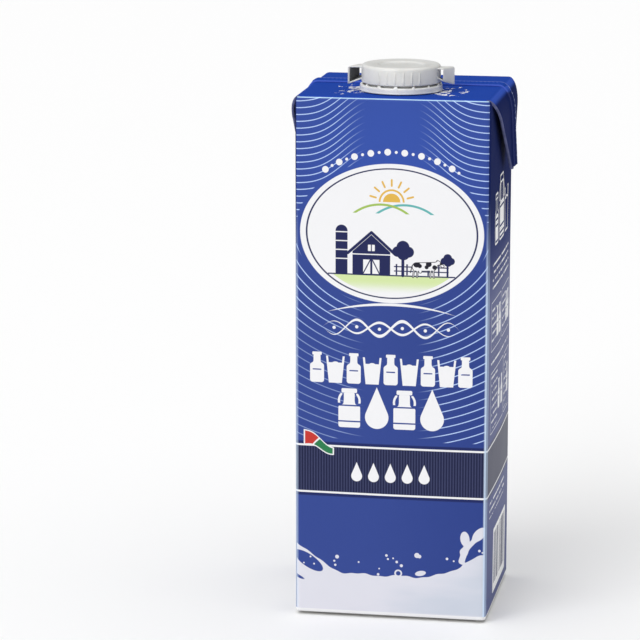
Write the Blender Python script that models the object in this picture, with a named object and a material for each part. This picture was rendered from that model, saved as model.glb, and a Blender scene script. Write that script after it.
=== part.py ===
"""One-litre brick milk carton with a screw cap, in metres, +Z up.

The origin is at the middle of the base. The front panel faces -Y, the left and right panels
face -X and +X. The shut carton is solid, the cap and the ring below it are pieces of their own.
"""

import math

import bmesh
import bpy
import numpy as np

MM = 0.001

# The folded board
WIDTH = 74.0 * MM
DEPTH = 68.0 * MM
HEIGHT = 202.0 * MM
CORNER_RADIUS = 2.0 * MM
FOLD_RADIUS = 1.6 * MM
FRONT_SWELL = 0.9 * MM
SIDE_SWELL = 0.6 * MM
CUTS_PER_PANEL = 8
CUTS_PER_CORNER = 3
CUTS_PER_FOLD = 3
CUTS_IN_HEIGHT = 12

# The triangular ears, folded down on both sides and standing a little off them
EAR_DROP = 31.5 * MM
EAR_BEND_DROP = 11.0 * MM
EAR_BEND_START = 1.8 * MM
EAR_BEND_REACH = 3.0 * MM
EAR_TIP_REACH = 4.0 * MM
EAR_THICKNESS = 1.5 * MM
EAR_TIP_HALF_WIDTH = 2.2 * MM
EAR_CORNER_INSET = 0.7 * MM
EAR_BEND_CUTS = 6
EAR_LINE_CUTS = 3
BOARD = 0.15 * MM

# The seal fin, folded backward over the top and down the ears
FIN_START = 3.5 * MM
FIN_WIDTH = 6.5 * MM
FIN_THICKNESS = 0.8 * MM
FIN_LIFT = 0.4 * MM
FIN_DROP = 30.8 * MM

# The ears under the base, with the narrow end of the lower fin between them
BASE_FLAP = 0.8 * MM
BASE_WAIST = 4.0 * MM
BASE_INSET = 2.2 * MM

# The cap and its ring, in front of the fin
CAP_RADIUS = 15.0 * MM
CAP_Y = -12.6 * MM
CAP_TOP = 10.2 * MM
CAP_BOTTOM = 3.4 * MM
CAP_TURN = math.radians(6)
CAP_EDGE_RADIUS = 1.3 * MM
CAP_DISC_RADIUS = 8.0 * MM
CAP_DISC_STEP = 0.35 * MM
RIB_HEIGHT = 0.35 * MM
RIB_PITCH = math.radians(12)
RIB_REACH = math.radians(33)
CAP_SIDES = 120
CAP_EDGE_CUTS = 4

RING_RADIUS = 15.7 * MM
RING_TOP = 2.8 * MM
RING_CHAMFER = 0.4 * MM
NECK_RADIUS = 13.2 * MM
NECK_TOP = 3.1 * MM
RING_SIDES = 48
SEAT_GAP = 0.3 * MM

# The grips beside the cap. Each is a wedge seen from above: near the cap at its leading end and
# further out at its trailing end, where it also hangs lower. Both face the same way round.
WING_LEADING_Y = -5.7 * MM
WING_TRAILING_Y = 0.9 * MM
WING_LEADING_REACH = 1.7 * MM
WING_TRAILING_REACH = 5.3 * MM
WING_LEADING_HEIGHT = 5.0 * MM
WING_TRAILING_HEIGHT = 7.0 * MM
WING_WALL = 0.8 * MM
WING_SLOPE = 0.38
WING_ROOT = 4.2 * MM
WING_TOP_DROP = 1.0 * MM

OVERLAP = 1.0 * MM
SHARP_FROM = math.radians(35)


def clear_scene():
    for thing in list(bpy.data.objects):
        bpy.data.objects.remove(thing, do_unlink=True)


def plain_material(name, colour, roughness):
    material = bpy.data.materials.new(name)
    material.use_nodes = True
    shader = material.node_tree.nodes["Principled BSDF"]
    shader.inputs["Base Color"].default_value = (*colour, 1.0)
    shader.inputs["Roughness"].default_value = roughness
    shader.inputs["Metallic"].default_value = 0.0
    return material


def object_from(name, points, faces, material=None):
    """A mesh object whose faces all point outward, with its soft edges shaded smooth."""
    mesh = bpy.data.meshes.new(name)
    mesh.from_pydata([tuple(point) for point in points], [], faces)
    work = bmesh.new()
    work.from_mesh(mesh)
    bmesh.ops.recalc_face_normals(work, faces=work.faces)
    work.to_mesh(mesh)
    work.free()
    mesh.shade_smooth()
    mesh.set_sharp_from_angle(angle=SHARP_FROM)
    made = bpy.data.objects.new(name, mesh)
    bpy.context.scene.collection.objects.link(made)
    if material:
        mesh.materials.append(material)
    return made


def stack_of_loops(name, loops, material=None):
    """Joins equal closed loops, each to the next, and closes the first and the last."""
    sides = len(loops[0])
    points = [point for loop in loops for point in loop]
    faces = [list(range(sides)), list(range((len(loops) - 1) * sides, len(loops) * sides))]
    for level in range(len(loops) - 1):
        for side in range(sides):
            after = (side + 1) % sides
            low, high = level * sides, (level + 1) * sides
            faces.append([low + side, low + after, high + after, high + side])
    return object_from(name, points, faces, material)


def add_to(whole, pieces):
    """Unites the pieces with the whole, so that they are one solid."""
    for piece in pieces:
        union = whole.modifiers.new(piece.name, "BOOLEAN")
        union.operation = "UNION"
        union.solver = "EXACT"
        union.object = piece
        piece.hide_render = True
        piece.display_type = "WIRE"


def skin_loop(inset, z):
    """The board's outline at height z: straight panels that swell, with arcs at the corners."""
    half_width, half_depth = WIDTH / 2 - inset, DEPTH / 2 - inset
    radius = CORNER_RADIUS - inset
    up = (z - BASE_FLAP) / (HEIGHT - BASE_FLAP)
    lift = math.sin(math.pi * min(max(up, 0.0), 1.0))
    panels = [
        (half_width, half_depth, FRONT_SWELL, -math.pi / 2),
        (half_depth, half_width, SIDE_SWELL, 0.0),
        (half_width, half_depth, FRONT_SWELL, math.pi / 2),
        (half_depth, half_width, SIDE_SWELL, math.pi),
    ]
    loop = []
    for along, outward, swell, facing in panels:
        normal = np.array([math.cos(facing), math.sin(facing)])
        tangent = np.array([-normal[1], normal[0]])
        for step in np.linspace(-1.0, 1.0, CUTS_PER_PANEL + 1):
            reach = outward + swell * lift * math.cos(math.pi / 2 * step)
            loop.append(normal * reach + tangent * step * (along - radius))
        corner = normal * (outward - radius) + tangent * (along - radius)
        for turn in np.linspace(0.0, math.pi / 2, CUTS_PER_CORNER + 1)[1:-1]:
            loop.append(corner + radius * (normal * math.cos(turn) + tangent * math.sin(turn)))
    return [(x, y, z) for x, y in loop]


def board_body(material):
    """The brick: rounded folds at the base and the top, and swelling panels between them."""
    levels = []
    for turn in np.linspace(0.0, math.pi / 2, CUTS_PER_FOLD + 1):
        levels.append((FOLD_RADIUS * (1 - math.sin(turn)), BASE_FLAP + FOLD_RADIUS * (1 - math.cos(turn))))
    low, high = BASE_FLAP + FOLD_RADIUS, HEIGHT - FOLD_RADIUS
    for share in np.linspace(0.0, 1.0, CUTS_IN_HEIGHT + 1)[1:-1]:
        levels.append((0.0, low + share * (high - low)))
    for turn in np.linspace(0.0, math.pi / 2, CUTS_PER_FOLD + 1):
        levels.append((FOLD_RADIUS * (1 - math.cos(turn)), high + FOLD_RADIUS * math.sin(turn)))
    return stack_of_loops("carton", [skin_loop(*level) for level in levels], material)


def ear_outline(drop):
    """The ear's face from the top fold down to a drop, as (x, z): a quarter ellipse, then a line."""
    start, reach = WIDTH / 2 - EAR_BEND_START, EAR_BEND_START + EAR_BEND_REACH
    points = []
    for turn in np.linspace(0.0, math.pi / 2, EAR_BEND_CUTS + 1):
        x = start + reach * math.sin(turn)
        points.append((x, HEIGHT - EAR_BEND_DROP * (1 - math.cos(turn))))
    for share in np.linspace(0.0, 1.0, EAR_LINE_CUTS + 1)[1:]:
        x = WIDTH / 2 + EAR_BEND_REACH + share * (EAR_TIP_REACH - EAR_BEND_REACH)
        points.append((x, HEIGHT - EAR_BEND_DROP - share * (drop - EAR_BEND_DROP)))
    return points


def face_normals(path):
    """The outward normal at each point of a path in X and Z that turns down to the right."""
    places = np.array(path)
    ahead = np.gradient(places, axis=0)
    ahead /= np.linalg.norm(ahead, axis=1)[:, None]
    return np.stack([-ahead[:, 1], ahead[:, 0]], axis=1)


def strip(name, path, edges, rises, sink, side=1):
    """A strap carried along a path: edges gives its two sides in Y, and rises its outer face at each."""
    normals = face_normals(path)
    loops = []
    for (x, z), normal, (front, back), (rise_front, rise_back) in zip(path, normals, edges, rises):
        section = [(front, -sink), (back, -sink), (back, rise_back), (front, rise_front)]
        loops.append([(side * (x + normal[0] * out), y, z + normal[1] * out) for y, out in section])
    return stack_of_loops(name, loops)


def mirrored(path):
    """The same path from the left tip, over the top, to the right tip."""
    return [(-x, z) for x, z in reversed(path)] + path


def ear(name, side):
    """A triangular flap: as wide as the carton at the top fold, narrow and blunt below the fin's fold."""
    path = ear_outline(EAR_DROP)
    wide = DEPTH / 2 - EAR_CORNER_INSET
    edges = []
    for _, z in path:
        share = (HEIGHT - z) / EAR_DROP
        half = wide + share * (EAR_TIP_HALF_WIDTH - wide)
        middle = share * FIN_START
        edges.append((middle - half, middle + half))
    return strip(name, path, edges, [(BOARD, BOARD)] * len(path), EAR_THICKNESS, side)


def fin():
    """The flattened seam that runs from ear tip to ear tip, lying backward, its free edge lifted."""
    path = mirrored(ear_outline(FIN_DROP))
    edges = [(FIN_START, FIN_START + FIN_WIDTH)] * len(path)
    rises = [(FIN_THICKNESS, FIN_THICKNESS + FIN_LIFT)] * len(path)
    return strip("fin", path, edges, rises, EAR_THICKNESS / 2)


def base_flaps():
    """The two lower ears, folded inward under the base: a bow tie with the fin's end as its waist."""
    wide, deep = WIDTH / 2 - BASE_INSET, DEPTH / 2 - BASE_INSET
    quarter = [(BASE_WAIST, -BASE_WAIST), (wide, -deep), (wide, deep), (BASE_WAIST, BASE_WAIST)]
    outline = quarter + [(-x, -y) for x, y in quarter]
    heights = (0.0, BASE_FLAP + OVERLAP)
    return stack_of_loops("base_flaps", [[(x, y, z) for x, y in outline] for z in heights])


def make_carton(material):
    body = board_body(material)
    add_to(body, [ear("ear_right", 1), ear("ear_left", -1), fin(), base_flaps()])


def about_axis(x, y, z):
    """A point given from the cap's axis and the top of the board, turned as the cap is screwed on."""
    cos, sin = math.cos(CAP_TURN), math.sin(CAP_TURN)
    return (x * cos - y * sin, CAP_Y + x * sin + y * cos, HEIGHT + z)


def turned(name, profile, sides, swell, material=None):
    """Turns a profile of (radius, height) about the cap's axis; swell adds to the radius by angle."""
    loops = []
    for radius, z, share in profile:
        loop = []
        for angle in np.arange(sides) * 2 * math.pi / sides:
            reach = radius + share * swell(angle)
            loop.append(about_axis(reach * math.cos(angle), reach * math.sin(angle), z))
        loops.append(loop)
    return stack_of_loops(name, loops, material)


def rib_swell(angle):
    """Six narrow upright ribs on the front of the cap and six on the back, none beside the wings."""
    from_front = abs(math.remainder(angle - math.pi / 2, math.pi))
    if from_front > RIB_REACH:
        return 0.0
    beside = math.remainder(from_front - RIB_PITCH / 2, RIB_PITCH)
    return RIB_HEIGHT if abs(beside) < RIB_PITCH / 10 else 0.0


def wing_outline(reach, height):
    """The bent strap of a grip, seen from its end: along the top, down, and back in with a slope."""
    outer, root = CAP_RADIUS + reach, CAP_RADIUS - WING_ROOT
    top = CAP_TOP - WING_TOP_DROP
    bottom = top - height
    rise = WING_SLOPE * (outer - root)
    return [
        (root, top),
        (outer - WING_WALL, top),
        (outer, top - WING_WALL),
        (outer, bottom),
        (root, bottom + rise),
        (root, bottom + rise + WING_WALL),
        (outer - WING_WALL, bottom + WING_WALL),
        (outer - WING_WALL, top - WING_WALL),
        (root, top - WING_WALL),
    ]


def wing(name, side):
    """A grip of thin strap; the second one is the first, turned half round the cap's axis."""
    ends = [
        (WING_LEADING_Y, wing_outline(WING_LEADING_REACH, WING_LEADING_HEIGHT)),
        (WING_TRAILING_Y, wing_outline(WING_TRAILING_REACH, WING_TRAILING_HEIGHT)),
    ]
    return stack_of_loops(name, [[about_axis(side * x, side * y, z) for x, z in outline] for y, outline in ends])


def make_cap(material):
    edge = [
        (
            CAP_RADIUS - CAP_EDGE_RADIUS * (1 - math.cos(turn)),
            CAP_TOP - CAP_EDGE_RADIUS * (1 - math.sin(turn)),
            max(0.0, 1 - 2 * turn),
        )
        for turn in np.linspace(0.0, math.pi / 2, CAP_EDGE_CUTS + 1)
    ]
    profile = [(CAP_RADIUS - CAP_DISC_STEP, CAP_BOTTOM, 0.0), (CAP_RADIUS, CAP_BOTTOM + CAP_DISC_STEP, 1.0)]
    profile += edge
    profile += [
        (CAP_DISC_RADIUS + CAP_DISC_STEP, CAP_TOP, 0.0),
        (CAP_DISC_RADIUS, CAP_TOP - CAP_DISC_STEP, 0.0),
    ]
    cap = turned("screw_cap", profile, CAP_SIDES, rib_swell, material)
    add_to(cap, [wing("wing_right", 1), wing("wing_left", -1)])


def make_ring(material):
    """The ring that stays on the board, with the short neck that shows dark below the cap."""
    profile = [
        (RING_RADIUS, SEAT_GAP, 0.0),
        (RING_RADIUS, RING_TOP - RING_CHAMFER, 0.0),
        (RING_RADIUS - RING_CHAMFER, RING_TOP, 0.0),
        (NECK_RADIUS, RING_TOP, 0.0),
        (NECK_RADIUS, NECK_TOP, 0.0),
    ]
    turned("cap_ring", profile, RING_SIDES, lambda angle: 0.0, material)


clear_scene()
make_carton(plain_material("printed_board", (0.035, 0.075, 0.42), 0.3))
make_cap(plain_material("cap_plastic", (0.66, 0.65, 0.62), 0.42))
make_ring(plain_material("ring_plastic", (0.62, 0.61, 0.58), 0.42))
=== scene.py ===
# %% [markdown]
# # A one-litre brick milk carton with a screw cap
# The carton is one sheet of laminated board, folded to a brick. Its top ears are folded down at
# the sides, its seal fin lies flat over the top, and a moulded cap sits in front of the fin.
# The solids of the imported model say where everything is. This lesson makes the fine surfaces.

# %% Load the frame
import math
from functools import reduce

import bpy
import numpy as np
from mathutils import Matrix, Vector


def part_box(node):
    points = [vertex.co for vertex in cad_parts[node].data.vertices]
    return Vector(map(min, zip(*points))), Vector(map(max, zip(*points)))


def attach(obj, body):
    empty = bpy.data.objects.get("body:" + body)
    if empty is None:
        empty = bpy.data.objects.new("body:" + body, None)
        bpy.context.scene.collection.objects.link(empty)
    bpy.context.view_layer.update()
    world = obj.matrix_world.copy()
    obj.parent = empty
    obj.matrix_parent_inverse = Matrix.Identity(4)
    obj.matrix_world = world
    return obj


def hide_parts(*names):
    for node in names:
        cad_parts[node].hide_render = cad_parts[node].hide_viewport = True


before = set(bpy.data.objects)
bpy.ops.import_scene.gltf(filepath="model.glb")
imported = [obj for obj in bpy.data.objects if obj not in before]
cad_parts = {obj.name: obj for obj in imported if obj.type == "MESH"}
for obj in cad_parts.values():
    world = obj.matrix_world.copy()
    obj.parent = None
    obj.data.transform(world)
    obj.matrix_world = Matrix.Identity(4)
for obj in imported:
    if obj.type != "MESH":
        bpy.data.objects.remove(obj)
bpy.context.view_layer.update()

MM = 0.001
CAP_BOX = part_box("screw_cap")
RING_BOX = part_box("cap_ring")

# %% [markdown]
# ## Driving sizes
# A folded carton is described by the blank it was cut from: the width and depth of its panels,
# its height, and how far its ears and its fin reach. The cap has its own small set of sizes.
# The height of the board, the top of the cap, and the cap's axis are read from the solids, so
# both models agree where they meet.

# %% Driving sizes, in metres
RING_SEAT = 0.3 * MM
WIDTH = 74.0 * MM
DEPTH = 68.0 * MM
HEIGHT = RING_BOX[0].z - RING_SEAT
BASE_LIFT = 0.8 * MM
CORNER_RADIUS = 2.0 * MM
FOLD_RADIUS = 1.6 * MM
FRONT_SWELL = 0.9 * MM
SIDE_SWELL = 0.6 * MM

EAR_DROP = 31.5 * MM
EAR_BEND_DROP = 11.0 * MM
EAR_BEND_START = 1.8 * MM
EAR_BEND_REACH = 3.0 * MM
EAR_TIP_REACH = 4.0 * MM
EAR_THICKNESS = 1.1 * MM
EAR_TIP_HALF_WIDTH = 2.2 * MM

FIN_START = 3.5 * MM
FIN_WIDTH = 6.5 * MM
FIN_DROP = 30.6 * MM

CAP_Y = (RING_BOX[0].y + RING_BOX[1].y) / 2
CAP_RADIUS = 15.0 * MM
CAP_TURN = math.radians(6)
CAP_TOP = CAP_BOX[1].z
CAP_FOOT = HEIGHT + 3.4 * MM
print("the top is", round(HEIGHT / MM, 2), "mm up, the cap's axis at y =", round(CAP_Y / MM, 2))

# %% [markdown]
# ## Surfaces as arrays
# Every piece here is a net of points: rows along a path, columns round a section. A whole net is
# worked out at once with numpy. One helper turns a net into a closed mesh: it joins the columns
# into a ring, closes the first and last row with a point, and stores the place on the printed
# blank, in millimetres, as a UV map. Modelling by hand would give the same faces, but a net can
# be changed by changing one size.

# %% A helper that turns nets into closed meshes
def closed_net(name, net, materials, slots=None, blank=None):
    """A closed mesh from a net of rows and ring-shaped columns, with a middle point at both ends.

    Face (i, j) joins points (i, j), (i, j+1), (i+1, j+1) and (i+1, j). Blank holds the place on
    the print at each face's own two columns, so that a print may end where the next one starts.
    All faces are turned round if the volume inside, a sixth of the sum of a . (b x c), is negative.
    """
    rows, columns = net.shape[:2]
    points = np.concatenate([net.reshape(-1, 3), net[:1].mean(axis=1), net[-1:].mean(axis=1)])
    i, j = np.meshgrid(np.arange(rows - 1), np.arange(columns), indexing="ij")
    low, high, after = i * columns, (i + 1) * columns, (j + 1) % columns
    quads = np.stack([low + j, low + after, high + after, high + j], -1).reshape(-1, 4)
    ring, rolled = np.arange(columns), np.roll(np.arange(columns), -1)
    last = (rows - 1) * columns
    opening = np.stack([np.full(columns, rows * columns), rolled, ring], -1)
    closing = np.stack([last + ring, last + rolled, np.full(columns, rows * columns + 1)], -1)
    fans = np.concatenate([opening, closing])

    if blank is None:
        flat = net[..., 1:] / MM
        blank = np.stack([flat, np.roll(flat, -1, axis=1)], axis=2)
    left, right = blank[:, :, 0], blank[:, :, 1]
    corners = np.stack([left[:-1], right[:-1], right[1:], left[1:]], 2).reshape(-1, 4, 2)
    ends = np.stack([left[0], right[0], left[0]], 1), np.stack([left[-1], right[-1], left[-1]], 1)
    ends = np.concatenate(ends)

    a, b, c, d = (points[quads[:, k]] for k in range(4))
    e, f, g = (points[fans[:, k]] for k in range(3))
    volume = (a * np.cross(b, c)).sum() + (a * np.cross(c, d)).sum() + (e * np.cross(f, g)).sum()
    if volume < 0:
        quads, fans, corners, ends = quads[:, ::-1], fans[:, ::-1], corners[:, ::-1], ends[:, ::-1]

    mesh = bpy.data.meshes.new(name)
    mesh.from_pydata(points.tolist(), [], quads.tolist() + fans.tolist())
    places = np.concatenate([corners.reshape(-1), ends.reshape(-1)])
    mesh.uv_layers.new(name="print").data.foreach_set("uv", places)
    for material in materials:
        mesh.materials.append(material)
    if slots is not None:
        numbers = np.concatenate([slots.reshape(-1), slots[0], slots[-1]]).astype(np.int32)
        mesh.polygons.foreach_set("material_index", numbers)
    mesh.polygons.foreach_set("use_smooth", np.ones(len(mesh.polygons), bool))
    mesh.update()
    made = bpy.data.objects.new(name, mesh)
    bpy.context.scene.collection.objects.link(made)
    print(name, "has", len(mesh.polygons), "faces and", round(abs(volume) / 6e-6, 2), "ml inside")
    return made


def belongs(piece, node):
    """The piece rides on the part's one body and stands for one of its solids."""
    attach(piece, "root")
    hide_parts(node)


# %% [markdown]
# ## Nodes as sums
# The print is not a picture. It is drawn by the material from distances, the way a plate maker
# would describe it: the distance to a disc, to a rounded box, to a straight stroke. A surface
# point is inked where a distance is negative. Each number below is a node's output, and plain
# arithmetic on it adds the next node, so a shape can be written as a formula.

# %% Colours and nodes
def linear(code):
    """A hex colour as linear light: c / 12.92 below 0.04045, else ((c + 0.055) / 1.055) ** 2.4."""
    parts = [int(code[at:at + 2], 16) / 255 for at in (1, 3, 5)]
    return (*[c / 12.92 if c <= 0.04045 else ((c + 0.055) / 1.055) ** 2.4 for c in parts], 1.0)


def add_node(tree, kind, feeds=(), **settings):
    """Adds one node, applies its settings, and sets or links each input that feeds names."""
    made = tree.nodes.new(kind)
    for key, value in settings.items():
        setattr(made, key, value)
    for key, value in dict(feeds).items():
        value = getattr(value, "socket", value)
        if isinstance(value, bpy.types.NodeSocket):
            tree.links.new(value, made.inputs[key])
        else:
            made.inputs[key].default_value = value
    return made


class Field:
    """A number or a place at every point of the surface, on which arithmetic adds nodes.

    Calc works on numbers, place on places, and scaled gives slope x the number + start.
    """

    def __init__(self, tree, socket):
        self.tree, self.socket = tree, socket

    def make(self, kind, output, feeds, **settings):
        return Field(self.tree, add_node(self.tree, kind, feeds, **settings).outputs[output])

    def calc(self, operation, *others, clamp=False):
        feeds = enumerate((self, *others))
        return self.make("ShaderNodeMath", 0, feeds, operation=operation, use_clamp=clamp)

    def place(self, operation, *others, output=0):
        feeds = enumerate((self, *others))
        return self.make("ShaderNodeVectorMath", output, feeds, operation=operation)

    def scaled(self, slope, start):
        return self.calc("MULTIPLY_ADD", slope, start)

    def __add__(self, other):
        return self.calc("ADD", other)

    def __sub__(self, other):
        return self.calc("SUBTRACT", other)

    def __mul__(self, other):
        return self.calc("MULTIPLY", other)

    def __truediv__(self, number):
        return self.calc("MULTIPLY", 1 / number)

    def __pow__(self, power):
        return self.calc("POWER", power)

    def __neg__(self):
        return self.calc("MULTIPLY", -1.0)

    def __abs__(self):
        return self.calc("ABSOLUTE")


def split(where):
    """The two coordinates of a place on the print: along the panel, and up it."""
    parts = add_node(where.tree, "ShaderNodeSeparateXYZ", {0: where})
    return Field(where.tree, parts.outputs[0]), Field(where.tree, parts.outputs[1])


def own_place(tree):
    """The place on the object itself, in metres from the middle of its base."""
    return Field(tree, add_node(tree, "ShaderNodeTexCoord").outputs["Object"])


def noise(place, scale, detail=2.0, roughness=0.5):
    """Smooth random values between 0 and 1, about scale waves to each unit of the place."""
    feeds = {"Vector": place, "Scale": scale, "Detail": detail, "Roughness": roughness}
    return place.make("ShaderNodeTexNoise", 0, feeds)


# %% Shapes as distances
def moved(at, x, y):
    """The place measured from (x, y)."""
    return at.place("SUBTRACT", (x, y, 0.0))


def mirrored(at, x):
    """The place measured from u = x, with its left half folded onto the right."""
    return moved(at, x, 0.0).place("ABSOLUTE")


def least(*fields):
    """Where any of the shapes is: the smallest of the distances."""
    return reduce(lambda found, field: found.calc("MINIMUM", field), fields)


def most(*fields):
    """Where all of the shapes are: the largest of the distances."""
    return reduce(lambda found, field: found.calc("MAXIMUM", field), fields)


def joined(shape, *others):
    """Shapes that run together as liquids do: a smooth minimum, each with its own fillet."""
    return reduce(lambda found, other: found.calc("SMOOTH_MIN", *other), others, shape)


def disc(at, x, y, radius):
    """Distance to a disc: the distance to its centre, less its radius."""
    return at.place("DISTANCE", (x, y, 0.0), output=1) - radius


def block(at, x, y, half_width, half_height, rounding=0.3):
    """Distance to a rounded box: what |place - centre| has beyond an inner box, less the rounding.

    Inside the inner box it stays at minus the rounding, so an inset needs a smaller box.
    """
    inner = (half_width - rounding, half_height - rounding, 0.0)
    beyond = moved(at, x, y).place("ABSOLUTE").place("SUBTRACT", inner)
    return beyond.place("MAXIMUM", (0.0, 0.0, 0.0)).place("LENGTH", output=1) - rounding


def stroke(at, x0, y0, x1, y1, radius):
    """Distance to a line with round ends: to its nearest point, less half its thickness."""
    run = (x1 - x0, y1 - y0, 0.0)
    length = run[0] ** 2 + run[1] ** 2
    local = moved(at, x0, y0)
    share = local.place("DOT_PRODUCT", run, output=1).calc("MULTIPLY", 1 / length, clamp=True)
    nearest = share.make("ShaderNodeVectorMath", 0, {0: run, 3: share}, operation="SCALE")
    return local.place("DISTANCE", nearest, output=1) - radius


def half_plane(at, x, y, turn):
    """Distance past a straight edge through (x, y) whose outward side lies at the angle turn."""
    normal = (math.cos(math.radians(turn)), math.sin(math.radians(turn)), 0.0)
    return at.place("DOT_PRODUCT", normal, output=1) - (x * normal[0] + y * normal[1])


def oval(at, x, y, long, short, turn=0.0):
    """Distance to a turned oval: the length of (place / half axes) - 1, scaled by the short one."""
    c, s = math.cos(math.radians(turn)), math.sin(math.radians(turn))
    local = moved(at, x, y)
    a = local.place("DOT_PRODUCT", (c / long, s / long, 0.0), output=1)
    b = local.place("DOT_PRODUCT", (-s / short, c / short, 0.0), output=1)
    return ((a * a + b * b).calc("SQRT") - 1.0) * short


def repeated(level, pitch, half):
    """Distance to bands at every pitch of a level: |fraction(level / pitch) - 1/2| x pitch - half."""
    return abs((level / pitch).calc("FRACT") - 0.5) * pitch - half


# %% Ink from distances
EDGE = 0.14


def inked(distance, softness=EDGE):
    """How much ink lies at a distance: one inside, none outside, and a soft edge between."""
    return distance.calc("MULTIPLY_ADD", -1 / softness, 0.5, clamp=True)


def over(ground, ink, cover):
    """Ink laid over the ground: ground + cover x (ink - ground)."""
    return cover.make("ShaderNodeMix", 2, {0: cover, 6: ground, 7: ink}, data_type="RGBA")


def layered(colour, *layers):
    """Inks laid over a colour one after another, each where its own distance is negative."""
    for ink, distance in layers:
        colour = over(colour, ink, inked(distance))
    return colour


def ramp(value, low, high):
    """A smooth step from 0 at low to 1 at high."""
    feeds = {0: value, 1: low, 2: high, 3: 0.0, 4: 1.0}
    return value.make("ShaderNodeMapRange", 0, feeds, interpolation_type="SMOOTHSTEP")


# %% [markdown]
# ## Inks
# A carton is printed with a few solid inks and then laminated with clear polyethylene. The front
# is royal blue, the sides a deep navy, the milk a cool white, and the strip a greyed navy.

# %% The inks
ROYAL = linear("#35488e")
ROYAL_LIGHT = linear("#3651a5")
ROYAL_DEEP = linear("#2c3f84")
NAVY = linear("#172358")
SIDE_BLUE = linear("#2b3c80")
TOP_BLUE = linear("#2244a0")
# Painted highlight of the top's rounded folds.
FOLD_HIGHLIGHT_BLUE = linear("#3a59bc")
BAND = linear("#1f2342")
BAND_LINE = linear("#44496d")
BAND_SHADE = linear("#1e2658")
PALE_LINE = linear("#b9d0f8")
WHITE = linear("#ebebed")
SIDE_WHITE = linear("#ffffff")
INK = linear("#252a55")
MILK = linear("#d9d9e2")
MILK_SHADE = linear("#c6ccd8")
GOLD = linear("#dcb150")
TEAL = linear("#62b0ae")
GREEN = linear("#9dbb5a")
MEADOW = linear("#cfe0a4")
RED = linear("#c23a34")
LEAF = linear("#2f7a4e")
COW = linear("#24242f")
# Painted highlights: a pale line on the top fold, and a paler one on the upright corners.
TOP_CREASE_HIGHLIGHT = linear("#c4e6fc")
CORNER_HIGHLIGHT = linear("#d2e5fc")
CONTACT_SHADE = linear("#3a3b40")
# Painted highlights: a pale line on the fin's fold, and glints in dots along its crimped free edge.
FIN_FOLD_HIGHLIGHT_LOW, FIN_FOLD_HIGHLIGHT_TOP = linear("#3a4276"), linear("#5068c8")
FIN_DOTTED_HIGHLIGHT = linear("#a9b5e0")
BOARD_PALE, BOARD_SHADED = linear("#eceae4"), linear("#dcd9d2")
# The ears' folded rims: cracked ink, painted paler as a highlight.
CRACKED_AND_HIGHLIT, CRACKED_AND_HIGHLIT_PALE = linear("#54587b"), linear("#6a6e94")


# %% [markdown]
# ## The laminated board
# The board gets its gloss from the clear film over the ink. A polyethylene film has an index
# near 1.5 and is never optically flat, so a very shallow unevenness of a few millimetres across
# bends its reflections a little. The gloss is matched down to the satin of the real pack. One
# function wraps any print in that finish. Haze makes the film duller where it is high.

# %% The finish of laminated board
FILM_IOR = 1.5
FRONT_GLOSS, SIDE_GLOSS, TOP_GLOSS = 0.1, 0.06, 0.0004
FILM_ROUGHNESS = 0.36
UNEVEN_PER_METRE = 55.0
UNEVEN_HEIGHT = 0.12 * MM


def new_material(name, roughness):
    """A new material, with its nodes and its shader to work on."""
    material = bpy.data.materials.new(name)
    material.use_nodes = True
    shader = material.node_tree.nodes["Principled BSDF"]
    shader.inputs["Roughness"].default_value = roughness
    return material, material.node_tree, shader


def add_bump(tree, shader, per_metre, height, strength):
    """An unevenness of the surface, as noise over the whole object."""
    feeds = {"Height": noise(own_place(tree), per_metre), "Distance": height, "Strength": strength}
    bump = add_node(tree, "ShaderNodeBump", feeds)
    tree.links.new(bump.outputs[0], shader.inputs["Normal"])


def laminated(name, draw, gloss, haze=None):
    """Printed board under a clear polyethylene film: draw(place) returns the print's colour."""
    material, tree, shader = new_material(name, FILM_ROUGHNESS)
    shader.inputs["IOR"].default_value = FILM_IOR
    shader.inputs["Specular IOR Level"].default_value = gloss
    where = Field(tree, add_node(tree, "ShaderNodeUVMap", uv_map="print").outputs[0])
    tree.links.new(draw(where).socket, shader.inputs["Base Color"])
    if haze is not None:
        tree.links.new((haze(where) + FILM_ROUGHNESS).socket, shader.inputs["Roughness"])
    add_bump(tree, shader, UNEVEN_PER_METRE, UNEVEN_HEIGHT, 1.0)
    print(name, "is drawn by", len(tree.nodes), "nodes")
    return material


# %% [markdown]
# ## The front print
# All sizes are millimetres on the panel: u runs right from the panel's middle, v up from the
# base. The emblem is a plain wide oval. Above it thin pale lines run in from both edges and
# rise, below it they are rings round its upper half. All of them fade towards the middle.

# %% The emblem and the lines round it
EMBLEM = (0.0, 150.8, 34.9, 26.5)
RINGS_FROM = 163.0
KEYLINE_INSET, KEYLINE_HALF = 1.9, 0.25
LINE_PITCH_ABOVE, LINE_PITCH_BELOW = 2.58, 3.0
LINE_HALF, LINE_SOFTNESS = 0.17, 0.17
LINES_CHANGE, LINES_END, LINES_FADE = 152.0, 70.7, (9.5, 22.0)
BELL_HEIGHT, BELL_WIDTH = 15.0, 21.0


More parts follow.
